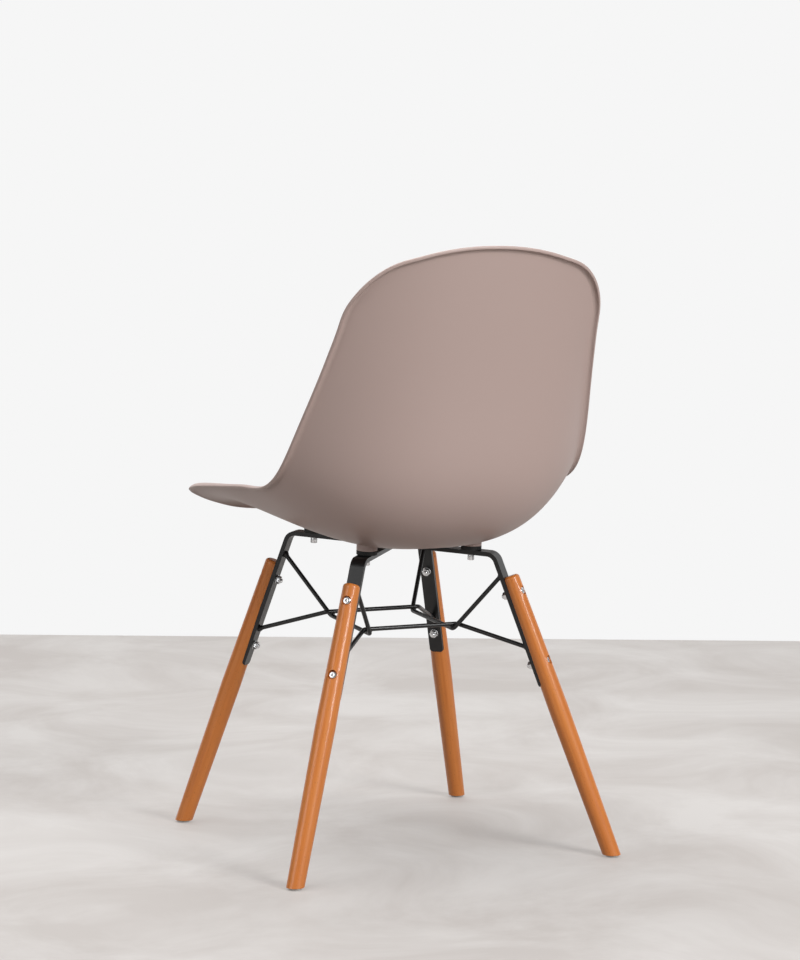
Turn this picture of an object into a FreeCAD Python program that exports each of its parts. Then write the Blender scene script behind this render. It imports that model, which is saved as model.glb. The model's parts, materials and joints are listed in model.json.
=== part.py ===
import FreeCAD, Part
import Sketcher
import math
import os

# Moulded plastic shell chair on a base of four wooden legs and a bent steel cross frame.
# Millimetres, +Z up, +Y towards the front of the seat, +X to the sitter's right.
# The origin is on the floor under the middle of the overall box.

Vector = FreeCAD.Vector
Placement = FreeCAD.Placement
Rotation = FreeCAD.Rotation
UP = Vector(0, 0, 1)

doc = FreeCAD.newDocument("shell_chair")

# Driving dimensions

sizes = {
    "centre_y": 15.4,
    "frame_height": 414.4,
    "frame_tilt": 3.6,
    "bar_heading": 42,
    "bar_width": 20,
    "bar_thickness": 6,
    "bar_run": 152,
    "bar_bend_radius": 14,
    "bar_end_round": 4.5,
    "bar_low_end": 250,
    "front_turn": 73,
    "front_swing": -3.8,
    "rear_turn": 67,
    "rear_swing": 2.2,
    "screw_hole": 3.3,
    "leg_to_bar": 9.6,
    "leg_length": 405,
    "leg_foot_radius": 11.6,
    "leg_belly_radius": 13.6,
    "leg_belly_height": 215,
    "leg_top_radius": 11.4,
    "leg_top_round": 4.5,
    "leg_slot_gap": 0.2,
    "leg_counterbore": 6.2,
    "leg_counterbore_floor": 7.5,
    "leg_screw_low": 281,
    "leg_screw_high": 381,
    "leg_screw_radius": 3,
    "leg_screw_head": 5.6,
    "leg_screw_head_height": 2.8,
    "leg_screw_tail": 21.5,
    "socket_radius": 2.2,
    "socket_depth": 1.6,
    "leg_washer_radius": 6,
    "leg_washer_height": 1.2,
    "screw_point": 0.8,
    "screw_head_bevel": 1.6,
    "nut_flats": 10,
    "nut_height": 5,
    "glide_radius": 9,
    "glide_height": 3,
    "glide_chamfer": 0.8,
    "seat_screw_run": 116.6,
    "seat_screw_radius": 3,
    "seat_screw_head": 5,
    "seat_screw_head_height": 6,
    "seat_screw_reach": 16,
    "seat_washer_radius": 5.2,
    "seat_washer_height": 1.6,
    "thread_gap": 0.1,
    "spacer_radius": 14,
    "spacer_height": 6,
    "insert_radius": 4.5,
    "insert_height": 6.5,
    "boss_radius": 14,
    "wire_radius": 3,
    "wire_bend_radius": 8,
    "wire_sink": 1,
    "wire_height": 311,
    "wire_setback": 2,
    "stretcher_half": 70.2,
    "stretcher_spread": 61,
    "brace_half": 64.7,
    "brace_spread": 62.5,
    "stretcher_weld": 305,
    "brace_weld_front": 419,
    "brace_weld_rear": 410,
    "shell_wall": 4.5,
    "rim_radius": 8,
    "rim_roll_front": 20,
    "rim_roll_side": 75,
    "rim_lip": 1.8,
    "rim_edge_round": 1.3,
    "rim_roll_start": 0.03,
    "rim_roll_full": 0.12,
    "front_corner": 106,
    "front_crown": 9,
    "top_corner": 52,
    "top_crown": 42,
    "crown_power": 2.2,
    "pattern_half": 200,
    "seat_power": 2.95,
    "back_power": 2.33,
}

# Stations of the seat shell, from the front lip over the seat and up to the crown. Each one
# guides the spine, at y and z, and the edge beside it, at half the width, edge_y and edge_z.
# The y values count from the middle of the chair.

station_columns = ("y", "z", "half", "edge_y", "edge_z")
stations = {
    "lip": (272, 441, 205, 274, 441),
    "nose": (270, 451, 208, 274, 457),
    "apron": (216, 457, 216, 212, 481),
    "thigh": (130, 445, 221, 125, 491),
    "middle": (36, 429, 219, 42, 495),
    "hip": (-62, 418, 216, -15, 500),
    "tail": (-167, 422, 214, -77, 499),
    "heel": (-232, 490, 212, -128, 524),
    "lumbar": (-243, 576, 202, -164, 587),
    "waist": (-259, 677, 180, -212, 683),
    "shoulder": (-288, 788, 166, -264, 793),
    "crown": (-296, 818, 167, -281, 817),
}

sheet = doc.addObject("Spreadsheet::Sheet", "dimensions")
rows = list(sizes.items())
for station, values in stations.items():
    rows += [("%s_%s" % (station, column), value) for column, value in zip(station_columns, values)]
for row, (alias, value) in enumerate(rows, 1):
    sheet.set("A%d" % row, alias)
    sheet.set("B%d" % row, str(value))
    sheet.setAlias("B%d" % row, alias)
doc.recompute()


def size(alias):
    return float(sheet.get(alias))


def cell(alias):
    return "dimensions.%s" % alias


kept = []


def keep(piece, label):
    piece.Label = label
    kept.append(piece)
    return piece


# Sketches, sweeps and simple solids that several pieces share

def add_sketch(body, name, plane, offset=0):
    sketch = body.newObject("Sketcher::SketchObject", name)
    for feature in body.Origin.OriginFeatures:
        if feature.Role == plane:
            sketch.AttachmentSupport = [(feature, "")]
    sketch.MapMode = "FlatFace"
    sketch.AttachmentOffset = Placement(Vector(0, 0, offset), Rotation())
    return sketch


def constrain(sketch, kind, *where, expression=None):
    index = sketch.addConstraint(Sketcher.Constraint(kind, *where))
    if expression:
        sketch.setExpression("Constraints[%d]" % index, expression)


def add_loop(sketch, corners):
    """Closed outline of straight edges through the corners."""
    first = sketch.GeometryCount
    count = len(corners)
    for index in range(count):
        start, stop = corners[index], corners[(index + 1) % count]
        sketch.addGeometry(Part.LineSegment(Vector(*start, 0), Vector(*stop, 0)))
    for index in range(count):
        constrain(sketch, "Coincident", first + index, 2, first + (index + 1) % count, 1)


def bent_sweep(body, profile, lengths, turns, radius_cell):
    """Sweeps the profile along straight runs joined by tangent bends that all turn the same way.

    Lengths run from corner to corner, and turns are in degrees."""
    path = add_sketch(body, body.Name + "_path", "XY_Plane")
    radius = size(radius_cell)
    cuts = [0] + [radius * math.tan(math.radians(turn) / 2) for turn in turns] + [0]
    point = Vector(0, 0, 0)
    heading = 0
    for index, length in enumerate(lengths):
        course = Vector(math.cos(heading), math.sin(heading), 0)
        stop = point + course * (length - cuts[index] - cuts[index + 1])
        path.addGeometry(Part.LineSegment(point, stop))
        constrain(path, "Distance", 2 * index, (stop - point).Length)
        if index < len(turns):
            turn = math.radians(turns[index])
            centre = stop + Vector(-course.y, course.x, 0) * radius
            circle = Part.Circle(centre, UP, radius)
            start = heading - math.pi / 2
            path.addGeometry(Part.ArcOfCircle(circle, start, start + turn))
            heading += turn
            point = centre + Vector(math.sin(heading), -math.cos(heading), 0) * radius
    constrain(path, "Coincident", 0, 1, -1, 1)
    constrain(path, "Horizontal", 0)
    for index in range(len(turns)):
        constrain(path, "Tangent", 2 * index, 2, 2 * index + 1, 1)
        constrain(path, "Tangent", 2 * index + 1, 2, 2 * index + 2, 1)
        constrain(path, "Radius", 2 * index + 1, radius, expression=cell(radius_cell))
        turn = math.radians(turns[index])
        constrain(path, "Angle", 2 * index, 1, 2 * index + 2, 1, turn)
    doc.recompute()
    sweep = body.newObject("PartDesign::AdditivePipe", body.Name + "_sweep")
    sweep.Profile = profile
    sweep.Spine = (path, ["Edge%d" % (index + 1) for index in range(path.GeometryCount)])
    doc.recompute()
    return sweep


def cylinder(name, place, radius, height):
    """Cylinder along the Z axis of its placement; radius and height are expressions."""
    solid = doc.addObject("Part::Cylinder", name)
    solid.setExpression("Radius", radius)
    solid.setExpression("Height", height)
    solid.Placement = place
    return solid


def fuse(name, solids):
    union = doc.addObject("Part::MultiFuse", name)
    union.Shapes = solids
    union.Refine = True
    return union


def cut(name, base, tool):
    result = doc.addObject("Part::Cut", name)
    result.Base = base
    result.Tool = tool
    return result


def ring(name, place, radius, bore, height):
    disc = cylinder(name + "_disc", place, radius, height)
    hole = cylinder(name + "_hole", place, bore, height)
    return cut(name + "_ring", disc, hole)


def group(label, pattern, places):
    """One node of separate, equal solids: the pattern's shape at each placement."""
    doc.recompute()
    node = doc.addObject("Part::Feature", label)
    node.Shape = Part.makeCompound([pattern.Shape.transformed(place.toMatrix()) for place in places])
    return keep(node, label)


# Frames of the base: the flat middle of the cross frame, its four arms and the leg on each arm

frame = Placement(Vector(0, size("centre_y"), size("frame_height")), Rotation(Vector(1, 0, 0), size("frame_tilt")))


class Corner:
    """Arm and leg of one corner; side is 1 on the sitter's right, end is 1 at the front.

    arm: X along the arm from the middle of the frame, Z across the bend.
    leg: origin on the floor, Z up the leg's axis, X outwards through the bar and the leg."""

    def __init__(self, side, end):
        self.end = "front" if end > 0 else "rear"
        self.name = self.end + ("_right" if side > 0 else "_left")
        self.turn = size(self.end + "_turn")
        self.swing = side * size(self.end + "_swing")
        angle = math.radians(size("bar_heading"))
        reach = Vector(side * math.sin(angle), end * math.cos(angle), 0)
        self.flat = frame * Placement(Vector(), Rotation(reach, UP.cross(reach), UP, "XYZ"))
        level = frame.Rotation * Rotation(reach, -UP, UP.cross(reach), "XYZ")
        self.arm = Placement(frame.Base, level * Rotation(Vector(1, 0, 0), self.swing))
        bent = self.arm.Rotation * Rotation(UP, self.turn) * Rotation(Vector(1, 0, 0), -self.swing)
        down = bent.multVec(Vector(1, 0, 0))
        inward = bent.multVec(Vector(0, 1, 0))
        across = bent.multVec(Vector(0, 0, 1))
        knee = self.arm.multVec(Vector(size("bar_run"), 0, 0)) - inward * size("leg_to_bar")
        self.knee_station = -knee.z / down.z
        floor = knee + down * self.knee_station
        self.leg = Placement(floor, Rotation(-inward, across, -down, "XYZ"))

    def on_arm(self, run, lift):
        """Placement on the arm's middle line, with Z square to the flat of the frame."""
        return self.flat * Placement(Vector(run, 0, lift), Rotation())

    def on_leg(self, outward, station):
        """Placement on the leg, with Z outwards through the bar and the leg."""
        return self.leg * Placement(Vector(outward, 0, station), Rotation(Vector(0, 1, 0), 90))


corners = [Corner(side, end) for end in (1, -1) for side in (-1, 1)]
front_left, front_right, rear_left, rear_right = corners
screw_stations = (size("leg_screw_low"), size("leg_screw_high"))
bar_face = size("bar_thickness") / 2

# Cross bars: flat steel, bent down at both ends, drilled, and half-lapped where they cross

def half_bar(corner):
    body = doc.addObject("PartDesign::Body", "half_bar_" + corner.name)
    body.Placement = corner.arm
    section = add_sketch(body, body.Name + "_section", "YZ_Plane")
    thick, wide = bar_face, size("bar_width") / 2
    tilt = math.radians(-corner.swing)

    def turned(y, z):
        return (y * math.cos(tilt) - z * math.sin(tilt), y * math.sin(tilt) + z * math.cos(tilt))

    add_loop(section, [turned(-thick, -wide), turned(thick, -wide), turned(thick, wide), turned(-thick, wide)])
    constrain(section, "Distance", 0, size("bar_thickness"), expression=cell("bar_thickness"))
    constrain(section, "Distance", 1, size("bar_width"), expression=cell("bar_width"))
    drop = corner.knee_station - size("bar_low_end")
    sweep = bent_sweep(body, section, [size("bar_run"), drop], [corner.turn], "bar_bend_radius")
    tip = max(sweep.Shape.Faces, key=lambda face: face.CenterOfMass.Length)
    ends = []
    for number, edge in enumerate(sweep.Shape.Edges, 1):
        short = edge.Length < size("bar_thickness") + 0.1
        if short and (edge.CenterOfMass - tip.CenterOfMass).Length < wide + 1:
            ends.append("Edge%d" % number)
    rounding = body.newObject("PartDesign::Fillet", body.Name + "_end")
    rounding.Base = (sweep, ends)
    rounding.setExpression("Radius", cell("bar_end_round"))
    return body


def cross_bar(label, pair, other, lift):
    """Bar through a pair of opposite corners, notched for the other bar above or below."""
    bar = fuse(label + "_blank", [half_bar(corner) for corner in pair])
    notch = doc.addObject("Part::Box", label + "_notch")
    notch.Length = 3 * size("bar_width")
    notch.setExpression("Width", cell("bar_width"))
    notch.setExpression("Height", cell("bar_thickness"))
    notch.Placement = other.flat * Placement(Vector(-1.5 * size("bar_width"), -size("bar_width") / 2, lift), Rotation())
    drills = []
    for corner in pair:
        under = corner.on_arm(size("seat_screw_run"), -size("bar_thickness"))
        holes = [under] + [corner.on_leg(-2 * size("bar_thickness") - bar_face, station) for station in screw_stations]
        for place in holes:
            drills.append(cylinder("bar_drill", place, cell("screw_hole"), cell("bar_thickness") + " * 2"))
    return keep(cut(label, bar, fuse(label + "_tools", [notch] + drills)), label)


bars = {}
bars["upper"] = cross_bar("cross_bar_upper", (front_right, rear_left), front_left, -size("bar_thickness"))
bars["lower"] = cross_bar("cross_bar_lower", (front_left, rear_right), front_right, 0)
bar_of = {
    "front_right": bars["upper"],
    "rear_left": bars["upper"],
    "front_left": bars["lower"],
    "rear_right": bars["lower"],
}

# Wire stretchers and braces, welded to the inner faces of the bars

wire_frame = Placement(Vector(0, size("centre_y") - size("wire_setback"), size("wire_height")), frame.Rotation)


def weld_point(corner, station):
    reach = -size("leg_to_bar") - bar_face + size("wire_sink")
    return corner.leg.multVec(Vector(reach, 0, station))


def bent_wire(label, start, first_bend, second_bend, stop, ends):
    """Wire through two bends; its ends are trimmed by the bars that it meets."""
    middle = (start + stop) / 2
    along = (second_bend - first_bend).normalize()
    normal = along.cross(middle - (first_bend + second_bend) / 2).normalize()
    points = [start, first_bend, second_bend, stop]
    points = [point - normal * normal.dot(point - first_bend) for point in points]
    runs = [points[index + 1] - points[index] for index in range(3)]
    turns = [math.degrees(runs[index].getAngle(runs[index + 1])) for index in range(2)]
    turning = runs[0].cross(runs[1])
    body = doc.addObject("PartDesign::Body", label + "_wire")
    body.Placement = Placement(points[0], Rotation(runs[0], turning.cross(runs[0]), turning, "XYZ"))
    section = add_sketch(body, body.Name + "_section", "YZ_Plane")
    section.addGeometry(Part.Circle(Vector(), UP, size("wire_radius")))
    constrain(section, "Coincident", 0, 3, -1, 1)
    constrain(section, "Radius", 0, size("wire_radius"), expression=cell("wire_radius"))
    bent_sweep(body, section, [run.Length for run in runs], turns, "wire_bend_radius")
    trimmed = body
    for number, bar in enumerate(ends):
        trimmed = cut("%s_trim_%d" % (label, number), trimmed, bar)
    return keep(trimmed, label)


def stretcher(label, left, right, end):
    half, spread = size("stretcher_half"), end * size("stretcher_spread")
    bends = [wire_frame.multVec(Vector(x, spread, 0)) for x in (-half, half)]
    welds = [weld_point(corner, size("stretcher_weld")) for corner in (left, right)]
    return bent_wire(label, welds[0], bends[0], bends[1], welds[1], [bar_of[left.name], bar_of[right.name]])


def brace(label, front, rear, side):
    half, spread = size("brace_half"), side * size("brace_spread")
    below = -2 * size("wire_radius")
    bends = [wire_frame.multVec(Vector(spread, y, below)) for y in (half, -half)]
    welds = [weld_point(corner, size("brace_weld_" + corner.end)) for corner in (front, rear)]
    return bent_wire(label, welds[0], bends[0], bends[1], welds[1], [bar_of[front.name], bar_of[rear.name]])


stretcher("stretcher_front", front_left, front_right, 1)
stretcher("stretcher_rear", rear_left, rear_right, -1)
brace("brace_left", front_left, rear_left, -1)
brace("brace_right", front_right, rear_right, 1)

# Legs: turned with a slight belly, slotted for the bar, drilled, and cut level at the foot

def leg(corner):
    body = doc.addObject("PartDesign::Body", "turned_" + corner.name)
    body.Placement = corner.leg
    outline = add_sketch(body, body.Name + "_outline", "XZ_Plane")
    foot, belly, top = size("leg_foot_radius"), size("leg_belly_radius"), size("leg_top_radius")
    low, high, soft = -foot, size("leg_length"), size("leg_top_round")
    shoulder = Vector(top, high - soft, 0)
    crest = Vector(top - soft, high, 0)
    flank = [Vector(0, low, 0), Vector(foot, low, 0), Vector(belly, size("leg_belly_height"), 0), shoulder]
    for start, stop in zip(flank, flank[1:]):
        outline.addGeometry(Part.LineSegment(start, stop))
    halfway = soft * (1 - math.sqrt(0.5))
    outline.addGeometry(Part.Arc(shoulder, Vector(top - halfway, high - halfway, 0), crest))
    outline.addGeometry(Part.LineSegment(crest, Vector(0, high, 0)))
    outline.addGeometry(Part.LineSegment(Vector(0, high, 0), Vector(0, low, 0)))
    turned = body.newObject("PartDesign::Revolution", body.Name + "_turning")
    turned.Profile = outline
    turned.ReferenceAxis = (outline, ["V_Axis"])
    turned.Angle = 360
    doc.recompute()

    slot_floor = -(size("leg_to_bar") - bar_face)
    wide = size("bar_width") / 2 + size("leg_slot_gap")
    base = size("bar_low_end") - size("leg_slot_gap")
    corner_round = size("bar_end_round")
    slot = add_sketch(body, body.Name + "_slot", "YZ_Plane", slot_floor)
    slot.addGeometry(Part.LineSegment(Vector(-wide, high + 1, 0), Vector(-wide, base + corner_round, 0)))
    circle = Part.Circle(Vector(-wide + corner_round, base + corner_round, 0), UP, corner_round)
    slot.addGeometry(Part.ArcOfCircle(circle, math.pi, 1.5 * math.pi))
    slot.addGeometry(Part.LineSegment(Vector(-wide + corner_round, base, 0), Vector(wide - corner_round, base, 0)))
    circle = Part.Circle(Vector(wide - corner_round, base + corner_round, 0), UP, corner_round)
    slot.addGeometry(Part.ArcOfCircle(circle, 1.5 * math.pi, 2 * math.pi))
    slot.addGeometry(Part.LineSegment(Vector(wide, base + corner_round, 0), Vector(wide, high + 1, 0)))
    slot.addGeometry(Part.LineSegment(Vector(wide, high + 1, 0), Vector(-wide, high + 1, 0)))
    routed = body.newObject("PartDesign::Pocket", body.Name + "_routing")
    routed.Profile = slot
    routed.Type = "Length"
    routed.Length = 2 * belly

    holes = add_sketch(body, body.Name + "_holes", "YZ_Plane")
    heads = add_sketch(body, body.Name + "_heads", "YZ_Plane", size("leg_counterbore_floor"))
    for sketch, alias in ((holes, "screw_hole"), (heads, "leg_counterbore")):
        for number, station in enumerate(screw_stations):
            sketch.addGeometry(Part.Circle(Vector(0, station, 0), UP, size(alias)))
            constrain(sketch, "Radius", number, size(alias), expression=cell(alias))
    drilled = body.newObject("PartDesign::Pocket", body.Name + "_drilling")
    drilled.Profile = holes
    drilled.Type = "ThroughAll"
    drilled.Midplane = True
    sunk = body.newObject("PartDesign::Pocket", body.Name + "_sinking")
    sunk.Profile = heads
    sunk.Type = "ThroughAll"
    sunk.Reversed = True
    doc.recompute()

    foot_block = doc.addObject("Part::Box", body.Name + "_floor")
    block = 100
    foot_block.Length = block
    foot_block.Width = block
    foot_block.Height = block
    centre = corner.leg.Base
    foot_block.Placement = Placement(
        Vector(centre.x - block / 2, centre.y - block / 2, size("glide_height") - block), Rotation())
    return keep(cut("level_" + corner.name, body, foot_block), "leg_" + corner.name)


for corner in corners:
    leg(corner)

# Glides: pale plastic discs, flat on the floor, with a small chamfer

for corner in corners:
    disc = cylinder("glide_disc", Placement(corner.leg.Base, Rotation()), cell("glide_radius"), cell("glide_height"))
    doc.recompute()
    soft = doc.addObject("Part::Chamfer", "glide_chamfer")
    soft.Base = disc
    size_pair = size("glide_chamfer")
    rims = [number for number, edge in enumerate(disc.Shape.Edges, 1) if edge.BoundBox.ZMax < 0.1]
    soft.Edges = [(number, size_pair, size_pair) for number in rims]
    keep(soft, "glide_" + corner.name)

# Leg screws, washers and nuts

seats = [(corner, station) for corner in corners for station in screw_stations]
screw = doc.addObject("PartDesign::Body", "leg_screw")
outline = add_sketch(screw, "leg_screw_outline", "XZ_Plane")
shank, head = size("leg_screw_radius"), size("leg_screw_head")
crown, tail = size("leg_screw_head_height"), -size("leg_screw_tail") - size("leg_counterbore_floor")
point, bevel = size("screw_point"), size("screw_head_bevel")
add_loop(outline, [(0, tail), (shank - point, tail), (shank, tail + point), (shank, 0), (head, 0),
                   (head, crown - bevel), (head - bevel, crown), (0, crown)])
turned = screw.newObject("PartDesign::Revolution", "leg_screw_turning")
turned.Profile = outline
turned.ReferenceAxis = (outline, ["V_Axis"])
turned.Angle = 360
recess = add_sketch(screw, "leg_screw_recess", "XY_Plane", crown - size("socket_depth"))
add_loop(recess, [(size("socket_radius") * math.cos(math.radians(60 * step)),
                   size("socket_radius") * math.sin(math.radians(60 * step))) for step in range(6)])
socket = screw.newObject("PartDesign::Pocket", "leg_screw_socket")
socket.Profile = recess
socket.Type = "ThroughAll"
socket.Reversed = True
group("leg_screws", screw, [corner.on_leg(size("leg_counterbore_floor"), station) for corner, station in seats])

washer_face = -size("leg_to_bar") - bar_face - size("leg_washer_height")
washer = ring("leg_washer", Placement(), cell("leg_washer_radius"), cell("screw_hole"), cell("leg_washer_height"))
group("leg_washers", washer, [corner.on_leg(washer_face, station) for corner, station in seats])

hexagon = doc.addObject("Part::Prism", "nut_hexagon")
hexagon.Polygon = 6
hexagon.setExpression("Circumradius", cell("nut_flats") + " / 2 / cos(30 deg)")
hexagon.setExpression("Height", cell("nut_height"))
bore = cylinder("nut_bore", Placement(), cell("leg_screw_radius") + " + " + cell("thread_gap"), cell("nut_height"))
nut = cut("nut", hexagon, bore)
nut_face = washer_face - size("nut_height")
group("leg_nuts", nut, [corner.on_leg(nut_face, station) for corner, station in seats])

# Seat screws, spring washers, rubber spacers and threaded inserts, stacked on the arms

run = size("seat_screw_run")
below = -bar_face - size("seat_washer_height")
shaft = cylinder("seat_shaft", Placement(), cell("seat_screw_radius"),
                 cell("seat_screw_reach") + " + " + cell("bar_thickness") + " / 2 + " + cell("seat_washer_height"))
cap = cylinder("seat_cap", Placement(Vector(0, 0, -size("seat_screw_head_height")), Rotation()),
               cell("seat_screw_head"), cell("seat_screw_head_height"))
seat_screw = fuse("seat_screw", [shaft, cap])
group("seat_screws", seat_screw, [corner.on_arm(run, below) for corner in corners])

washer = ring("seat_washer", Placement(), cell("seat_washer_radius"), cell("screw_hole"), cell("seat_washer_height"))
group("seat_washers", washer, [corner.on_arm(run, below) for corner in corners])

boss_foot = bar_face + size("spacer_height")
for corner in corners:
    spacer = ring("spacer_" + corner.name, corner.on_arm(run, bar_face),
                  cell("spacer_radius"), cell("screw_hole"), cell("spacer_height"))
    keep(spacer, "spacer_" + corner.name)

insert = ring("insert", Placement(), cell("insert_radius"),
              cell("seat_screw_radius") + " + " + cell("thread_gap"), cell("insert_height"))
group("threaded_inserts", insert, [corner.on_arm(run, boss_foot) for corner in corners])

# Seat shell: a double-curved skin on a spine, with the rim rolled away from the sitter all round.
# The skin is laid out as a flat pattern, x across and y along the spine from lip to crown.


def spline_curve(poles):
    """Cubic curve with even knots that starts at the first pole and stops at the last."""
    spans = len(poles) - 3
    curve = Part.BSplineCurve()
    curve.buildFromPolesMultsKnots(poles, [4] + [1] * (spans - 1) + [4], list(range(spans + 1)), False, 3)
    return curve


def sample_places(count):
    """Parameters at which a row of that many poles is sampled, the second ones a third in."""
    spans = count - 3
    return [0, 1 / 3] + list(range(1, spans)) + [spans - 1 / 3, spans]


def passing_row(samples, start=None, stop=None):
    """Poles of the curve through the samples, leaving along the start and stop directions."""
    poles = list(samples)
    places = sample_places(len(poles))
    for repeat in range(24):
        curve = spline_curve(poles)
        poles = [pole + sample - curve.value(place) for pole, sample, place in zip(poles, samples, places)]
    if start:
        poles[1] = poles[0] + start * start.dot(poles[1] - poles[0])
        poles[-2] = poles[-1] + stop * stop.dot(poles[-2] - poles[-1])
    return poles


def station_curve(across, forward, upward):
    """Curve guided by three values of every station; across is 0 for the spine."""
    poles = []
    for station in stations:
        x = size("%s_%s" % (station, across)) if across else 0
        y = size("%s_%s" % (station, forward)) + size("centre_y")
        poles.append(Vector(x, y, size("%s_%s" % (station, upward))))
    return spline_curve(poles)


spine = station_curve(None, "y", "z")
edge_line = station_curve("half", "edge_y", "edge_z")
spine_length = spine.length()
pattern_half = size("pattern_half")
wall = size("shell_wall") / 2


def skin_point(x, y):
    """Middle of the wall at a place of the flat pattern."""
    place = spine.parameterAtDistance(min(max(y, 0), spine_length), 0)
    centre = spine.value(place)
    reach = edge_line.value(place) - centre
    power = size("seat_power") + (size("back_power") - size("seat_power")) * y / spine_length
    across = x / pattern_half
    lift = abs(across) ** power
    return centre + Vector(reach.x * across, reach.y * lift, reach.z * lift)


def skin_normal(x, y):
    """Unit normal of the wall, towards the sitter."""
    step = 0.5
    across = skin_point(x + step, y) - skin_point(x - step, y)
    along = skin_point(x, min(y + step, spine_length)) - skin_point(x, max(y - step, 0))
    return along.cross(across).normalize()


def crowned(point):
    """Bows the straight front and top edges of the pattern outwards in the middle."""
    share = 2 * point.y / spine_length - 1
    crown = size("top_crown") if share > 0 else size("front_crown")
    return Vector(point.x, point.y - share * crown * abs(point.x / pattern_half) ** size("crown_power"), 0)


def pattern_arc(x, y, radius, start):
    circle = Part.Circle(Vector(x, y, 0), UP, radius)
    return Part.Arc(circle, math.radians(start), math.radians(start + 45)).toShape()


def walk(edges, share):
    """Point and direction at a share of the length of joined edges."""
    distance = share * sum(edge.Length for edge in edges)
    for edge in edges[:-1]:
        if distance <= edge.Length:
            break
        distance -= edge.Length
    else:
        edge = edges[-1]
    place = edge.getParameterByLength(min(distance, edge.Length))
    return edge.valueAt(place), edge.tangentAt(place)


front_round, top_round = size("front_corner"), size("top_corner")
front_x, top_x = pattern_half - front_round, pattern_half - top_round
top_y = spine_length - top_round
outline_sides = {
    "right": [
        pattern_arc(front_x, front_round, front_round, -45),
        Part.makeLine(Vector(pattern_half, front_round, 0), Vector(pattern_half, top_y, 0)),
        pattern_arc(top_x, top_y, top_round, 0),
    ],
    "top": [
        pattern_arc(top_x, top_y, top_round, 45),
        Part.makeLine(Vector(top_x, spine_length, 0), Vector(-top_x, spine_length, 0)),
        pattern_arc(-top_x, top_y, top_round, 90),
    ],
    "left": [
        pattern_arc(-top_x, top_y, top_round, 135),
        Part.makeLine(Vector(-pattern_half, top_y, 0), Vector(-pattern_half, front_round, 0)),
        pattern_arc(-front_x, front_round, front_round, 180),
    ],
    "front": [
        pattern_arc(-front_x, front_round, front_round, 225),
        Part.makeLine(Vector(-front_x, 0, 0), Vector(front_x, 0, 0)),
        pattern_arc(front_x, front_round, front_round, 270),
    ],
}
poles_along = {"right": 30, "top": 15, "left": 30, "front": 15}
poles_across_bands = (6, 9, 9, 6)


def outline_samples(side):
    """Pattern points of one side of the outline, with the direction of travel at each."""
    samples = []
    places = sample_places(poles_along[side])
    for place in places:
        point, course = walk(outline_sides[side], place / places[-1])
        samples.append((crowned(point), crowned(point + course * 0.5) - crowned(point - course * 0.5)))
    return samples


def roll_angle(y):
    """How far the rim turns down: little at the front lip, and fully beyond the front corners."""
    start, full = size("rim_roll_start"), size("rim_roll_full")
    share = min(max((y / spine_length - start) / (full - start), 0), 1)
    front, side = size("rim_roll_front"), size("rim_roll_side")
    return front + (side - front) * share * share * (3 - 2 * share)


def rim_profile(angle):
    """Four bands of the rolled rim in its own plane, from the sitter's face round to the back."""
    radius, lip = size("rim_radius"), size("rim_lip")

    def at(turn, offset, reach):
        turn = math.radians(turn)
        out = (radius + offset) * math.sin(turn) + reach * math.cos(turn)
        return Vector(out, (radius + offset) * math.cos(turn) - reach * math.sin(turn) - radius, 0)

    def half_edge(face):
        """From the middle of the rim's end round one of its two corners to that face."""
        flat = wall - size("rim_edge_round")
        slant = flat + size("rim_edge_round") * math.sqrt(0.5)
        corner = (at(angle, face * flat, lip), at(angle, face * slant, lip - wall + slant),
                  at(angle, face * wall, lip - wall + flat))
        return [Part.makeLine(at(angle, 0, lip), corner[0]), Part.Arc(*corner).toShape(),
                Part.makeLine(corner[2], at(angle, face * wall, 0))]

    inner = Part.Arc(at(0, wall, 0), at(angle / 2, wall, 0), at(angle, wall, 0)).toShape()
    outer = Part.Arc(at(angle, -wall, 0), at(angle / 2, -wall, 0), at(0, -wall, 0)).toShape()
    return [[inner], half_edge(1), half_edge(-1), [outer]]


def rim_bands(side):
    """Nets of poles of the four bands of the rim along one side, each with its rows lengthwise."""
    bands = [[], [], [], []]
    courses = []
    for point, travel in outline_samples(side):
        centre = skin_point(point.x, point.y)
        normal = skin_normal(point.x, point.y)
        near = point - travel / 2
        far = point + travel / 2
        course = (skin_point(far.x, far.y) - skin_point(near.x, near.y)).normalize()
        outward = normal.cross(course).normalize()
        courses.append(course)
        for band, profile, count in zip(bands, rim_profile(roll_angle(point.y)), poles_across_bands):
            places = sample_places(count)
            flats = [walk(profile, place / places[-1])[0] for place in places]
            band.append(passing_row([centre + outward * flat.x + normal * flat.y for flat in flats]))
        bands[1][-1].reverse()
    return [[passing_row(list(row), courses[0], courses[-1]) for row in zip(*band)] for band in bands]


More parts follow.
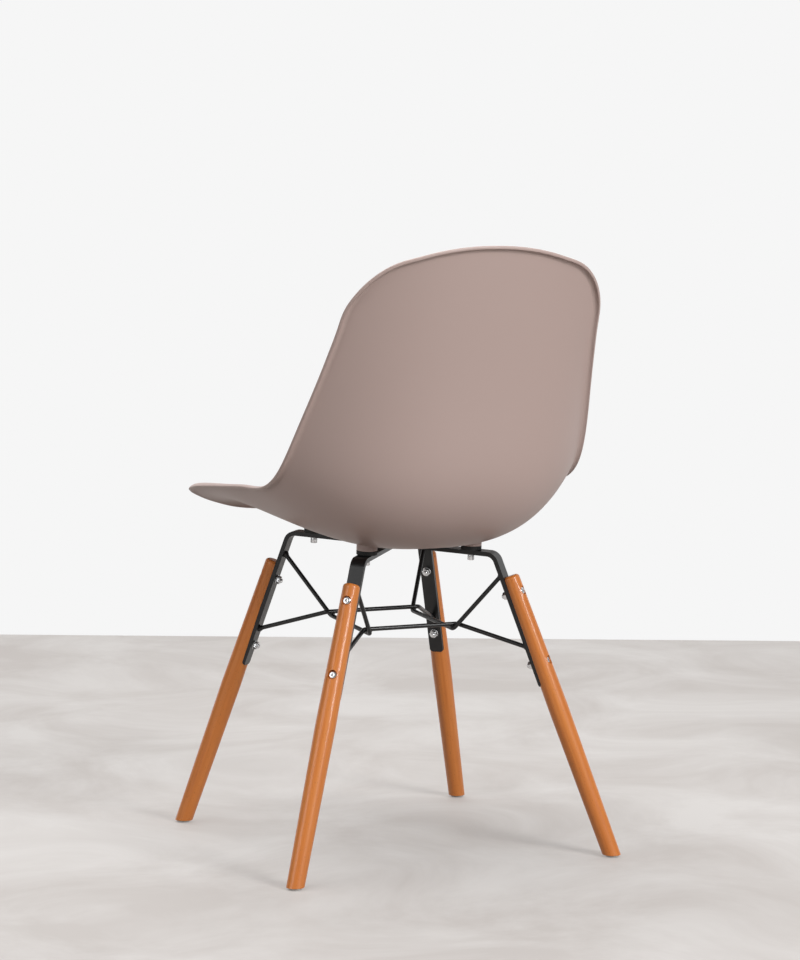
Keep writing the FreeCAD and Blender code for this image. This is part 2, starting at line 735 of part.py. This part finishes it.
def skin_net(offset, right, top, left, front):
    """Net of poles of one face of the skin, right to left by front to top, inside its four edges."""
    lanes, steps = len(top), len(right)
    cross_places, along_places = sample_places(lanes), sample_places(steps)
    outline = {side: [point for point, travel in outline_samples(side)] for side in outline_sides}
    outline["left"].reverse()
    outline["front"].reverse()
    grid = []
    for lane in range(lanes):
        u = cross_places[lane] / cross_places[-1]
        column = []
        for step in range(steps):
            v = along_places[step] / along_places[-1]
            point = outline["right"][step] * (1 - u) + outline["left"][step] * u
            point += outline["front"][lane] * (1 - v) + outline["top"][lane] * v
            point -= (outline["front"][0] * (1 - u) + outline["front"][-1] * u) * (1 - v)
            point -= (outline["top"][0] * (1 - u) + outline["top"][-1] * u) * v
            column.append(skin_point(point.x, point.y) + skin_normal(point.x, point.y) * offset)
        grid.append(passing_row(column))
    net = [passing_row(list(row)) for row in zip(*grid)]
    net = [list(column) for column in zip(*net)]
    net[0], net[-1] = list(right), list(reversed(left))
    for lane in range(lanes):
        net[lane][0] = front[lanes - 1 - lane]
        net[lane][-1] = top[lane]
    return net


def net_face(net):
    spans = [len(net) - 3, len(net[0]) - 3]
    mults = [[4] + [1] * (count - 1) + [4] for count in spans]
    knots = [list(range(count + 1)) for count in spans]
    surface = Part.BSplineSurface()
    surface.buildFromPolesMultsKnots(net, mults[0], mults[1], knots[0], knots[1], False, False, 3, 3)
    return surface.toShape()


def shell_solid():
    rims = {side: rim_bands(side) for side in outline_sides}
    faces = [net_face(band) for bands in rims.values() for band in bands]
    for offset, edge in ((wall, 0), (-wall, -1)):
        edges = {side: bands[edge][edge] for side, bands in rims.items()}
        faces.append(net_face(skin_net(offset, edges["right"], edges["top"], edges["left"], edges["front"])))
    skin = Part.makeShell(faces)
    skin.sewShape()
    solid = Part.makeSolid(skin)
    if solid.Volume < 0:
        solid.reverse()
    return solid


def boss(corner):
    """Round boss from the spacer up into the wall, sloped off along the middle of the wall."""
    axis = corner.on_arm(run, 0)
    foot = corner.on_arm(run, boss_foot).Base
    normal = axis.Rotation.multVec(UP)
    low, high = 0, spine_length / 2
    while high - low > 0.01:
        middle = (low + high) / 2
        if skin_point(0, middle).y > foot.y:
            low = middle
        else:
            high = middle
    x = foot.x * pattern_half / edge_line.value(spine.parameterAtDistance(low, 0)).x
    touch = skin_point(x, low)
    slope = skin_normal(x, low)
    post = Part.makeCylinder(size("boss_radius"), 60, foot, normal)
    cap = Part.makeBox(100, 100, 100, Vector(-50, -50, 0))
    cap.Placement = Placement(touch, Rotation(UP, slope))
    return post.cut(cap)


blank = doc.addObject("Part::Feature", "shell_blank")
blank.Shape = shell_solid()
bosses = doc.addObject("Part::Feature", "shell_bosses")
bosses.Shape = Part.makeCompound([boss(corner) for corner in corners])
sockets = [cylinder("boss_socket", corner.on_arm(run, boss_foot), cell("insert_radius"), cell("insert_height"))
           for corner in corners]
moulding = doc.addObject("Part::Fuse", "moulding")
moulding.Base = blank
moulding.Tool = bosses
keep(cut("seat", moulding, fuse("boss_sockets", sockets)), "seat_shell")

# Checks and files

doc.recompute()
for item in doc.Objects:
    if "Invalid" in item.State or "Error" in item.State:
        raise RuntimeError("%s could not be built" % item.Name)
for piece in kept:
    if piece.Shape.isNull() or not piece.Shape.isValid():
        raise RuntimeError("%s is not a valid shape" % piece.Label)
os.makedirs("parts", exist_ok=True)
for piece in kept:
    piece.Shape.exportStep("parts/%s.step" % piece.Label)
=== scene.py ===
import json
import math

import bmesh
import bpy
import numpy
from mathutils import Matrix, Vector

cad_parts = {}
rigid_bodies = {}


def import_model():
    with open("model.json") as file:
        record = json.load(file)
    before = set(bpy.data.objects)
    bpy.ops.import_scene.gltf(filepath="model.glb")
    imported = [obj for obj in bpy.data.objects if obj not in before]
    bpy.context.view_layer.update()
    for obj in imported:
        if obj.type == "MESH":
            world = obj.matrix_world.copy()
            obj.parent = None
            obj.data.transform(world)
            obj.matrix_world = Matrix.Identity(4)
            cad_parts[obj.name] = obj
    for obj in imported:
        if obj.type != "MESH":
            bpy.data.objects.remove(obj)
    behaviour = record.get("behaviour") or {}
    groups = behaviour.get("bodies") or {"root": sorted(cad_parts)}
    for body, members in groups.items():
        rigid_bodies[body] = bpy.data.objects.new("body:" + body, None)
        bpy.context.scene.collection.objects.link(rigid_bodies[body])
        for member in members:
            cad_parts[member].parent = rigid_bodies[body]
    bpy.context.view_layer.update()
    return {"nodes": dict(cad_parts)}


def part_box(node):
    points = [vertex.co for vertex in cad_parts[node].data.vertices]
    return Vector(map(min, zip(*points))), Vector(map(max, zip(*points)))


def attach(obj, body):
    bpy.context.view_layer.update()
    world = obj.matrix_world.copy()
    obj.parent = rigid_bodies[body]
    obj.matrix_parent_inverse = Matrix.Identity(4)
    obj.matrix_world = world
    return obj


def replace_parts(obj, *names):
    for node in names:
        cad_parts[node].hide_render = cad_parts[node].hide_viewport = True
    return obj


for leftover in list(bpy.data.objects):
    bpy.data.objects.remove(leftover, do_unlink=True)
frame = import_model()
nodes = frame["nodes"]


# Camera of the photograph: standing height, behind the chair and to its left, with a long lens.
# The small roll is the photographer's own. The lens is for a 36 mm sensor on the tall side.
heading, tilt, roll = math.radians(25.612), math.radians(5.646), math.radians(0.476)
ahead = Vector((math.sin(heading), math.cos(heading), 0))
right = Vector((math.cos(heading), -math.sin(heading), 0))
look = ahead * math.cos(tilt) - Vector((0, 0, math.sin(tilt)))
above = right.cross(look)
lens = bpy.data.cameras.new("camera")
lens.lens = 108.86
lens.clip_end = 50
camera = bpy.data.objects.new("camera", lens)
sideways = right * math.cos(roll) + above * math.sin(roll)
upright = above * math.cos(roll) - right * math.sin(roll)
camera.matrix_world = Matrix.Translation((-1.6984, -3.5521, 0.8915)) @ Matrix(
    (sideways, upright, -look)).transposed().to_4x4()
bpy.context.collection.objects.link(camera)
bpy.context.scene.camera = camera


# Studio: a poured floor, trowelled pale grey with faint clouds, against a white painted wall that
# stands square to the camera. Seen by the camera or in a reflection, the wall is an even white and
# the floor half an even glow. Light that bounces from the floor to the chair comes from a darker grey.
def linear(hex_colour):
    """An sRGB hex colour as the linear colour that shaders use."""
    parts = [int(hex_colour[place:place + 2], 16) / 255 for place in (0, 2, 4)]
    return [part / 12.92 if part < 0.04045 else ((part + 0.055) / 1.055) ** 2.4 for part in parts] + [1]


def add(tree, kind, settings=None, **sockets):
    """Adds a node with its settings. A socket takes a value or the output that feeds it;
    it is named by its label with _ for spaces, or by its number, as in_0."""
    node = tree.nodes.new(kind)
    for name, value in (settings or {}).items():
        setattr(node, name, value)
    for name, value in sockets.items():
        socket = node.inputs[int(name[3:]) if name.startswith("in_") else name.replace("_", " ")]
        if isinstance(value, bpy.types.NodeSocket):
            tree.links.new(value, socket)
        else:
            socket.default_value = value
    return node


def new_material(name, **finish):
    """A material with its surface shader; finish holds the shader's own sockets."""
    material = bpy.data.materials.new(name)
    material.use_nodes = True
    tree = material.node_tree
    tree.nodes.clear()
    shader = add(tree, "ShaderNodeBsdfPrincipled", **finish)
    add(tree, "ShaderNodeOutputMaterial", Surface=shader.outputs[0])
    return material, tree, shader


def mesh_object(name, points, faces, material, smooth=True):
    """A piece from its points and faces, in place, with one material."""
    mesh = bpy.data.meshes.new(name)
    mesh.from_pydata([tuple(point) for point in points], [], faces)
    mesh.materials.append(material)
    mesh.polygons.foreach_set("use_smooth", [smooth] * len(faces))
    piece = bpy.data.objects.new(name, mesh)
    bpy.context.collection.objects.link(piece)
    return piece


floor_stuff, tree, shader = new_material("trowelled_floor", Roughness=0.6)
where = add(tree, "ShaderNodeTexCoord").outputs["Object"]
clouds = add(tree, "ShaderNodeTexNoise", Vector=where, Scale=3.2, Detail=6, Roughness=0.62, Distortion=0.8)
shades = add(tree, "ShaderNodeValToRGB", Fac=clouds.outputs["Fac"])
shades.color_ramp.elements[0].position = 0.36
shades.color_ramp.elements[0].color = linear("CEC8C4")
shades.color_ramp.elements[1].position = 0.64
shades.color_ramp.elements[1].color = linear("DFDBD8")
seen = add(tree, "ShaderNodeLightPath")
straight = add(tree, "ShaderNodeMath", {"operation": "MAXIMUM"}, in_0=seen.outputs["Is Camera Ray"],
               in_1=seen.outputs["Is Glossy Ray"])
soft_bounce = add(tree, "ShaderNodeMix", {"data_type": "RGBA"}, in_0=straight.outputs[0],
                  in_6=linear("736E6A"), in_7=shades.outputs[0])
tree.links.new(soft_bounce.outputs[2], shader.inputs["Base Color"])
even = add(tree, "ShaderNodeEmission", Color=shades.outputs[0], Strength=0.88)
share = add(tree, "ShaderNodeMath", {"operation": "MULTIPLY"}, in_0=straight.outputs[0], in_1=0.5)
either = add(tree, "ShaderNodeMixShader", in_0=share.outputs[0], in_1=shader.outputs[0], in_2=even.outputs[0])
tree.links.new(either.outputs[0], tree.nodes["Material Output"].inputs["Surface"])

wall_stuff, tree, paint = new_material("white_paint", Base_Color=linear("E6E6E6"), Roughness=0.8)
seen = add(tree, "ShaderNodeLightPath")
straight = add(tree, "ShaderNodeMath", {"operation": "MAXIMUM"}, in_0=seen.outputs["Is Camera Ray"],
               in_1=seen.outputs["Is Glossy Ray"])
even = add(tree, "ShaderNodeEmission", Color=linear("F6F6F6"), Strength=1)
either = add(tree, "ShaderNodeMixShader", in_0=straight.outputs[0], in_1=paint.outputs[0],
             in_2=even.outputs[0])
tree.links.new(either.outputs[0], tree.nodes["Material Output"].inputs["Surface"])
wall_distance, room_half_width, floor_depth, wall_height = 1.85, 4, 6, 5
wall_foot = ahead * wall_distance
foot_left = wall_foot - right * room_half_width
foot_right = wall_foot + right * room_half_width
nearer = -ahead * floor_depth
higher = Vector((0, 0, wall_height))
floor = mesh_object("floor", [foot_left + nearer, foot_right + nearer, foot_right, foot_left],
                    [(0, 1, 2, 3)], floor_stuff, smooth=False)
wall = mesh_object("wall", [foot_left, foot_right, foot_right + higher, foot_left + higher],
                   [(0, 1, 2, 3)], wall_stuff, smooth=False)


# Lights: a narrow key softbox high on the right, a broad weak one on the left, and a large one
# overhead. The world is dim for the chair, brighter in its reflections, and near white behind it.
def softbox(name, place, target, width, height, power):
    light = bpy.data.lights.new(name, "AREA")
    light.shape = "RECTANGLE"
    light.size = width
    light.size_y = height
    light.energy = power
    lamp = bpy.data.objects.new(name, light)
    lamp.location = place
    lamp.rotation_mode = "QUATERNION"
    lamp.rotation_quaternion = (target - place).to_track_quat("-Z", "Y")
    bpy.context.collection.objects.link(lamp)


middle = Vector((0, 0, 0.5))
softbox("key_light", middle + right * 2.3 - ahead * 2.3 + Vector((0, 0, 1.5)), middle,
        width=1.1, height=2.0, power=104)
softbox("fill_light", middle - right * 2.5 - ahead * 2.1 + Vector((0, 0, 1.1)), middle,
        width=1.6, height=2.0, power=30)
softbox("top_light", middle - right * 0.5 + ahead * 0.3 + Vector((0, 0, 2.6)), middle,
        width=2.6, height=2.6, power=74)
world = bpy.data.worlds.new("studio")
world.use_nodes = True
background = world.node_tree.nodes["Background"]
background.inputs["Color"].default_value = linear("FFFFFF")
seen = add(world.node_tree, "ShaderNodeLightPath")
mirrored = add(world.node_tree, "ShaderNodeMapRange", Value=seen.outputs["Is Glossy Ray"],
               To_Min=0.07, To_Max=0.25)
level = add(world.node_tree, "ShaderNodeMapRange", Value=seen.outputs["Is Camera Ray"],
            To_Min=mirrored.outputs[0], To_Max=0.92)
world.node_tree.links.new(level.outputs[0], background.inputs["Strength"])
bpy.context.scene.world = world
bpy.context.scene.view_settings.view_transform = "Standard"


# Seat shell: one injection moulding in taupe polypropylene, 4.5 mm thick. The mould is finely
# etched, so the surface is satin, and the rim is rolled away from the sitter. The real etching is
# about 0.1 mm across, and its grain is drawn 1.4 mm across so that it shows.
def fine_grained(name, colour, roughness, grain, depth):
    """A plastic, rubber or powder coat with a fine grain of that size and depth, in metres."""
    material, tree, shader = new_material(name, Base_Color=linear(colour), Roughness=roughness, IOR=1.49)
    where = add(tree, "ShaderNodeTexCoord").outputs["Object"]
    etching = add(tree, "ShaderNodeTexNoise", Vector=where, Scale=1 / grain, Detail=2, Roughness=0.6)
    bump = add(tree, "ShaderNodeBump", Distance=depth, Strength=1, Height=etching.outputs["Fac"])
    tree.links.new(bump.outputs[0], shader.inputs["Normal"])
    return material


shell_plastic = fine_grained("moulded_polypropylene", "B9A39C", 0.44, 0.0014, 0.00003)
nodes["seat_shell"].data.materials[0] = shell_plastic


# Inserts and spacers: brass bushes moulded into the bosses, and black rubber discs under them. The
# discs are moulded, so their edges are soft, and the bushes are turned.
def made_plain(piece):
    """The piece's modifiers become part of its mesh."""
    done = piece.evaluated_get(bpy.context.evaluated_depsgraph_get())
    mesh = bpy.data.meshes.new_from_object(done)
    piece.modifiers.clear()
    piece.data = mesh


def broken_edges(name, width, material):
    """Stands for a CAD piece whose sharp edges the maker breaks by that much."""
    mesh = nodes[name].data.copy()
    if "custom_normal" in mesh.attributes:
        mesh.attributes.remove(mesh.attributes["custom_normal"])
    edit = bmesh.new()
    edit.from_mesh(mesh)
    bmesh.ops.remove_doubles(edit, verts=edit.verts, dist=0.000002)
    bmesh.ops.dissolve_limit(edit, angle_limit=math.radians(0.4), verts=edit.verts, edges=edit.edges)
    for face in edit.faces:
        face.smooth = True
    for edge in edit.edges:
        edge.smooth = True
    edit.to_mesh(mesh)
    edit.free()
    piece = bpy.data.objects.new(name + "_finished", mesh)
    bpy.context.collection.objects.link(piece)
    bevel = piece.modifiers.new("edges", "BEVEL")
    bevel.limit_method = "ANGLE"
    bevel.angle_limit = math.radians(32)
    bevel.width = width
    bevel.segments = 2
    weighted = piece.modifiers.new("shading", "WEIGHTED_NORMAL")
    weighted.keep_sharp = True
    made_plain(piece)
    piece.data.materials.clear()
    piece.data.materials.append(material)
    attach(piece, "root")
    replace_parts(piece, name)
    return piece


corners = ("front_left", "front_right", "rear_left", "rear_right")
brass = new_material("turned_brass", Base_Color=linear("B99A5B"), Metallic=1, Roughness=0.35)[0]
nodes["threaded_inserts"].data.materials[0] = brass
rubber = fine_grained("moulded_rubber", "171717", 0.7, 0.001, 0.00002)
for corner in corners:
    broken_edges("spacer_" + corner, 0.0007, rubber)


# Cross bars and wires: 20 x 6 mm flat bar and 6 mm wire in mild steel, bent cold, welded and
# powder coated in black. The coat is satin, with a faint orange peel.
powder_coat = fine_grained("black_powder_coat", "0B0B0C", 0.33, 0.001, 0.00002)
for name in ("cross_bar_upper", "cross_bar_lower"):
    broken_edges(name, 0.0006, powder_coat)
wires = ("stretcher_front", "stretcher_rear", "brace_left", "brace_right")
for name in wires:
    nodes[name].data.materials[0] = powder_coat


# Welds: a small bead round each wire where it meets a bar, and one in each crossing of two wires,
# all under the same powder coat.
def lathe(rings, sides=48, closed=False):
    """Points and faces of a turned form about Z, its rings from the bottom outwards and up. A ring
    is (radius, height), with a third value where it is also held to a hexagon of that half width."""
    points = []
    for radius, height, *flats in rings:
        for step in range(sides):
            angle = 2 * math.pi * step / sides
            reach = radius
            if flats:
                turn = (angle + math.pi / 6) % (math.pi / 3) - math.pi / 6
                reach = min(radius, flats[0] / math.cos(turn))
            points.append(Vector((reach * math.cos(angle), reach * math.sin(angle), height)))
    count = len(rings)
    faces = []
    for ring in range(count if closed else count - 1):
        low, high = ring * sides, (ring + 1) % count * sides
        for step in range(sides):
            beyond = (step + 1) % sides
            faces.append((low + step, low + beyond, high + beyond, high + step))
    if not closed:
        faces.append(tuple(reversed(range(sides))))
        faces.append(tuple(range((count - 1) * sides, count * sides)))
    return points, faces


def layout_tree(name, threaded):
    """Sets a pattern, with a thread where it has one, at every seat along its direction."""
    tree = bpy.data.node_groups.new(name, "GeometryNodeTree")
    tree.is_modifier = True
    sockets = tree.interface
    sockets.new_socket("Result", in_out="OUTPUT", socket_type="NodeSocketGeometry")
    sockets.new_socket("Seats", in_out="INPUT", socket_type="NodeSocketGeometry")
    sockets.new_socket("Pattern", in_out="INPUT", socket_type="NodeSocketObject")
    sockets.new_socket("Finish", in_out="INPUT", socket_type="NodeSocketMaterial")
    for size in ("Thread Radius", "Thread Pitch", "Thread Turns", "Thread Start") if threaded else ():
        sockets.new_socket(size, in_out="INPUT", socket_type="NodeSocketFloat")
    given = add(tree, "NodeGroupInput").outputs
    form = add(tree, "GeometryNodeObjectInfo", Object=given["Pattern"]).outputs["Geometry"]
    if threaded:
        height = add(tree, "ShaderNodeMath", {"operation": "MULTIPLY"}, in_0=given["Thread Pitch"],
                     in_1=given["Thread Turns"]).outputs[0]
        helix = add(tree, "GeometryNodeCurveSpiral", Resolution=24, Rotations=given["Thread Turns"],
                    Start_Radius=given["Thread Radius"], End_Radius=given["Thread Radius"], Height=height)
        crest = add(tree, "ShaderNodeMath", {"operation": "MULTIPLY"}, in_0=given["Thread Pitch"], in_1=0.32)
        ridge = add(tree, "GeometryNodeCurvePrimitiveCircle", Resolution=4, Radius=crest.outputs[0])
        swept = add(tree, "GeometryNodeCurveToMesh", Curve=helix.outputs[0],
                    Profile_Curve=ridge.outputs["Curve"], Fill_Caps=True)
        start = add(tree, "ShaderNodeCombineXYZ", Z=given["Thread Start"])
        thread = add(tree, "GeometryNodeTransform", Geometry=swept.outputs[0], Translation=start.outputs[0])
        both = add(tree, "GeometryNodeJoinGeometry", Geometry=form)
        tree.links.new(thread.outputs[0], both.inputs[0])
        form = both.outputs[0]
    way = add(tree, "GeometryNodeInputNamedAttribute", {"data_type": "FLOAT_VECTOR"}, Name="way")
    turn = add(tree, "FunctionNodeAlignRotationToVector", {"axis": "Z"}, Vector=way.outputs[0])
    placed = add(tree, "GeometryNodeInstanceOnPoints", Points=given["Seats"], Instance=form,
                 Rotation=turn.outputs[0])
    real = add(tree, "GeometryNodeRealizeInstances", Geometry=placed.outputs[0])
    finished = add(tree, "GeometryNodeSetMaterial", Geometry=real.outputs[0], Material=given["Finish"])
    add(tree, "NodeGroupOutput", Result=finished.outputs[0])
    return tree


def laid_out(name, form, seats, finish, thread=None):
    """One plain mesh of the form at every seat, along its direction."""
    pattern = mesh_object(name + "_pattern", *form, finish, smooth=False)
    spots = bpy.data.meshes.new(name + "_seats")
    spots.from_pydata([tuple(seat) for seat, way in seats], [], [])
    ways = spots.attributes.new("way", "FLOAT_VECTOR", "POINT")
    ways.data.foreach_set("vector", [value for seat, way in seats for value in way])
    piece = bpy.data.objects.new(name + "_finished", spots)
    bpy.context.collection.objects.link(piece)
    tree = layout_tree(name + "_layout", thread is not None)
    modifier = piece.modifiers.new("layout", "NODES")
    modifier.node_group = tree
    values = {"Pattern": pattern, "Finish": finish, **(thread or {})}
    for item in tree.interface.items_tree:
        if item.name in values:
            modifier[item.identifier] = values[item.name]
    made_plain(piece)
    bpy.data.objects.remove(pattern)
    edit = bmesh.new()
    edit.from_mesh(piece.data)
    for face in edit.faces:
        face.smooth = True
    for edge in edit.edges:
        edge.smooth = not edge.is_manifold or edge.calc_face_angle() < math.radians(35)
    edit.to_mesh(piece.data)
    edit.free()
    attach(piece, "root")
    return piece


def wire_end(name, side, sign):
    """Middle of a wire's end, and its direction from there; side is the axis it is furthest along."""
    spots = [vertex.co for vertex in nodes[name].data.vertices]
    thickness = 0.006
    furthest = max(spot[side] * sign for spot in spots)
    tip = [spot for spot in spots if spot[side] * sign > furthest - thickness]
    end = sum(tip, Vector()) / len(tip)
    rest = [spot for spot in spots if (spot - end).length > 2 * thickness]
    nearest = min((spot - end).length for spot in rest)
    ring = [spot for spot in rest if (spot - end).length < nearest + 0.005]
    return end, (sum(ring, Vector()) / len(ring) - end).normalized()


bead = lathe([(0.0046, -0.0015), (0.0049, 0.0002), (0.0044, 0.0016), (0.0036, 0.0032), (0.00305, 0.0050)],
             sides=24)
ends = [wire_end(name, 0 if name.startswith("stretcher") else 1, sign) for name in wires for sign in (-1, 1)]
laid_out("weld_beads", bead, ends, powder_coat)

blob_radius, blob_half_height, blob_steps = 0.0042, 0.0026, 8
turns = [math.pi * step / blob_steps for step in range(1, blob_steps)]
blob = lathe([(blob_radius * math.sin(turn), -blob_half_height * math.cos(turn)) for turn in turns], sides=20)
frame_middle, frame_lean = (0, 0.0134, 0.311), math.radians(3.6)
leaning = Matrix.Translation(frame_middle) @ Matrix.Rotation(frame_lean, 4, "X")
crossing_x, crossing_y, below_middle = 0.0625, 0.061, 0.003
crossings = [(leaning @ Vector((x, y, -below_middle)), leaning.to_3x3() @ Vector((0, 0, 1)))
             for x in (-crossing_x, crossing_x) for y in (-crossing_y, crossing_y)]
laid_out("weld_crossings", blob, crossings, powder_coat)


# Legs: beech dowels, turned to a slight belly, stained honey and lacquered. The grain runs along
# the leg, in bands some 5 mm apart with short darker flecks, and the lacquer gives a narrow highlight.
def loose_parts(name):
    """The points of every separate solid of a CAD node."""
    edit = bmesh.new()
    edit.from_mesh(nodes[name].data)
    bmesh.ops.remove_doubles(edit, verts=edit.verts, dist=0.000002)
    left = set(edit.verts)
    parts = []
    for first in edit.verts:
        if first not in left:
            continue
        left.remove(first)
        front = [first]
        part = []
        while front:
            vertex = front.pop()
            part.append(vertex.co.copy())
            for edge in vertex.link_edges:
                other = edge.other_vert(vertex)
                if other in left:
                    left.remove(other)
                    front.append(other)
        parts.append(part)
    edit.free()
    return parts


def screw_seats(name, head):
    """For each screw of a CAD node, the middle of its head's underside and the way its head points."""
    seats = []
    for part in loose_parts(name):
        cloud = numpy.array([list(point) for point in part])
        centre = cloud.mean(0)
        ways = numpy.linalg.eigh(numpy.cov((cloud - centre).T))[1]
        way = Vector(ways[:, 2])
        middle = Vector(centre)
        runs = [(point - middle).dot(way) for point in part]
        wide = max(part, key=lambda point: (point - middle - way * (point - middle).dot(way)).length)
        if (wide - middle).dot(way) < 0:
            way, runs = -way, [-run for run in runs]
        seats.append((middle + way * (max(runs) - head), way))
    return seats


def turned_wood(name, axis, shift):
    """Beech under clear lacquer, its grain along the axis."""
    material, tree, shader = new_material(name, Roughness=0.5, IOR=1.5, Coat_Weight=0.4, Coat_Roughness=0.14)
    where = add(tree, "ShaderNodeTexCoord").outputs["Object"]
    turn = axis.rotation_difference(Vector((0, 0, 1))).to_euler()
    along = add(tree, "ShaderNodeMapping", Vector=where, Rotation=turn, Location=shift)
    stretched = add(tree, "ShaderNodeMapping", Vector=along.outputs[0], Scale=(1, 1, 0.03))
    bands = add(tree, "ShaderNodeTexNoise", Vector=stretched.outputs[0], Scale=190, Detail=5, Roughness=0.6,
                Distortion=0.5)
    grain = add(tree, "ShaderNodeValToRGB", Fac=bands.outputs["Fac"])
    grain.color_ramp.elements[0].position = 0.25
    grain.color_ramp.elements[0].color = linear("CA6F27")
    grain.color_ramp.elements[1].position = 0.75
    grain.color_ramp.elements[1].color = linear("E0893D")
    flecked = add(tree, "ShaderNodeMapping", Vector=along.outputs[0], Scale=(1, 1, 0.3))
    flecks = add(tree, "ShaderNodeTexVoronoi", Vector=flecked.outputs[0], Scale=520)
    dots = add(tree, "ShaderNodeValToRGB", Fac=flecks.outputs["Distance"])
    dots.color_ramp.elements[0].position = 0.08
    dots.color_ramp.elements[0].color = (0.55, 0.55, 0.55, 1)
    dots.color_ramp.elements[1].position = 0.2
    dots.color_ramp.elements[1].color = (0, 0, 0, 1)
    mixed = add(tree, "ShaderNodeMix", {"data_type": "RGBA"}, in_0=dots.outputs[0], in_6=grain.outputs[0],
                in_7=linear("934A17"))
    tree.links.new(mixed.outputs[2], shader.inputs["Base Color"])
    bump = add(tree, "ShaderNodeBump", Distance=0.00002, Strength=1, Height=bands.outputs["Fac"])
    tree.links.new(bump.outputs[0], shader.inputs["Normal"])
    return material


leg_head, leg_reach = 0.0028, 0.12
leg_seats = screw_seats("leg_screws", leg_head)
for number, corner in enumerate(corners):
    low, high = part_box("leg_" + corner)
    middle = (low + high) / 2
    own = [seat for seat, way in leg_seats if (seat - middle).xy.length < leg_reach]
    own.sort(key=lambda seat: seat.z)
    axis = (own[-1] - own[0]).normalized()
    wood = turned_wood("lacquered_beech_" + corner, axis, (0.31 * number, 0.17 * number, 0.4 * number))
    broken_edges("leg_" + corner, 0.0005, wood)


# Glides: milky nylon discs pressed into the legs' feet. They are moulded, and a little light goes
# into them.
glide_plastic = new_material("milky_nylon", Base_Color=linear("DDDDD8"), Roughness=0.35,
                             Subsurface_Weight=0.3, Subsurface_Radius=(0.002, 0.002, 0.002))[0]
for corner in corners:
    nodes["glide_" + corner].data.materials[0] = glide_plastic


# Leg screws, washers and nuts: cold-headed steel, zinc plated and bright. A button head with a
# hexagon socket sits in the leg's counterbore, and the thread runs through the bar into the nut.
zinc, tree, shader = new_material("bright_zinc", Metallic=1, Roughness=0.26)
where = add(tree, "ShaderNodeTexCoord").outputs["Object"]
bloom = add(tree, "ShaderNodeTexNoise", Vector=where, Scale=900, Detail=3)
shades = add(tree, "ShaderNodeValToRGB", Fac=bloom.outputs["Fac"])
shades.color_ramp.elements[0].position = 0.3
shades.color_ramp.elements[0].color = linear("C6C7C9")
shades.color_ramp.elements[1].position = 0.7
shades.color_ramp.elements[1].color = linear("ECEDEE")
tree.links.new(shades.outputs[0], shader.inputs["Base Color"])

shank, pitch = 0.0028, 0.001
leg_screw = lathe([(0.0021, -0.029), (shank, -0.0283), (shank, 0), (0.0056, 0), (0.0056, 0.0010),
                   (0.0054, 0.0017), (0.0049, 0.0022), (0.0041, 0.0026), (0.0030, leg_head),
                   (0.0026, leg_head, 0.0020), (0.0026, 0.0026, 0.0019), (0.0026, 0.0011, 0.0019),
                   (0.0003, 0.0008)])
leg_screws = laid_out("leg_screws", leg_screw, leg_seats, zinc,
                      {"Thread Radius": shank, "Thread Pitch": pitch, "Thread Turns": 7.5,
                       "Thread Start": -0.0285})
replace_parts(leg_screws, "leg_screws")

washer_foot, washer_height = 0.0213, 0.0012
washer = lathe([(0.0033, 0), (0.0058, 0), (0.0060, 0.0002), (0.0060, 0.0010), (0.0058, washer_height),
                (0.0033, washer_height)], closed=True)
washer_seats = [(seat - way * washer_foot, way) for seat, way in leg_seats]
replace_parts(laid_out("leg_washers", washer, washer_seats, zinc), "leg_washers")

flat, nut_height = 0.0050, 0.0050
nut = lathe([(0.0034, 0, flat), (0.0050, 0, flat), (0.0059, 0.0006, flat), (0.0059, 0.0044, flat),
             (0.0050, nut_height, flat), (0.0034, nut_height, flat), (0.0031, 0.0046, flat),
             (0.0031, 0.0004, flat)], closed=True)
nut_seats = [(seat - way * (washer_foot + nut_height), way) for seat, way in leg_seats]
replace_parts(laid_out("leg_nuts", nut, nut_seats, zinc), "leg_nuts")


# Seat screws and spring washers: cap screws with a knurled head and a hexagon socket, driven up
# through the bars and spacers into the brass inserts, each over a split washer.
cad_cap, cap = 0.006, 0.0070
seat_seats = screw_seats("seat_screws", cad_cap)
cap_screw = lathe([(0.0021, -0.0205), (shank, -0.0198), (shank, 0), (0.0044, 0), (0.0046, 0.0003),
                   (0.0046, 0.0066), (0.0043, cap), (0.0031, cap), (0.0031, 0.0068, 0.0025),
                   (0.0031, 0.0036, 0.0025), (0.0003, 0.0032)])
knurled = []
knurled_rings, sides, groove = (4, 5), 48, 0.955
for index, point in enumerate(cap_screw[0]):
    if index // sides in knurled_rings and index % 2:
        point = Vector((point.x * groove, point.y * groove, point.z))
    knurled.append(point)
seat_screws = laid_out("seat_screws", (knurled, cap_screw[1]), seat_seats, zinc,
                       {"Thread Radius": shank, "Thread Pitch": pitch, "Thread Turns": 8.0,
                        "Thread Start": -0.020})
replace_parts(seat_screws, "seat_screws")

cuts, gap, spring_height = 44, math.radians(8), 0.0016
section = ((0.0032, 0), (0.0052, 0), (0.0052, spring_height), (0.0032, spring_height))
points = []
for step in range(cuts + 1):
    angle = gap / 2 + (2 * math.pi - gap) * step / cuts
    points += [Vector((reach * math.cos(angle), reach * math.sin(angle), height)) for reach, height in section]
faces = [(4 * step + side, 4 * step + 4 + side, 4 * step + 4 + (side + 1) % 4, 4 * step + (side + 1) % 4)
         for step in range(cuts) for side in range(4)]
last = 4 * cuts
faces += [(0, 1, 2, 3), (last + 3, last + 2, last + 1, last)]
spring_seats = [(seat - way * spring_height, way) for seat, way in seat_seats]
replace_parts(laid_out("seat_washers", (points, faces), spring_seats, zinc), "seat_washers")
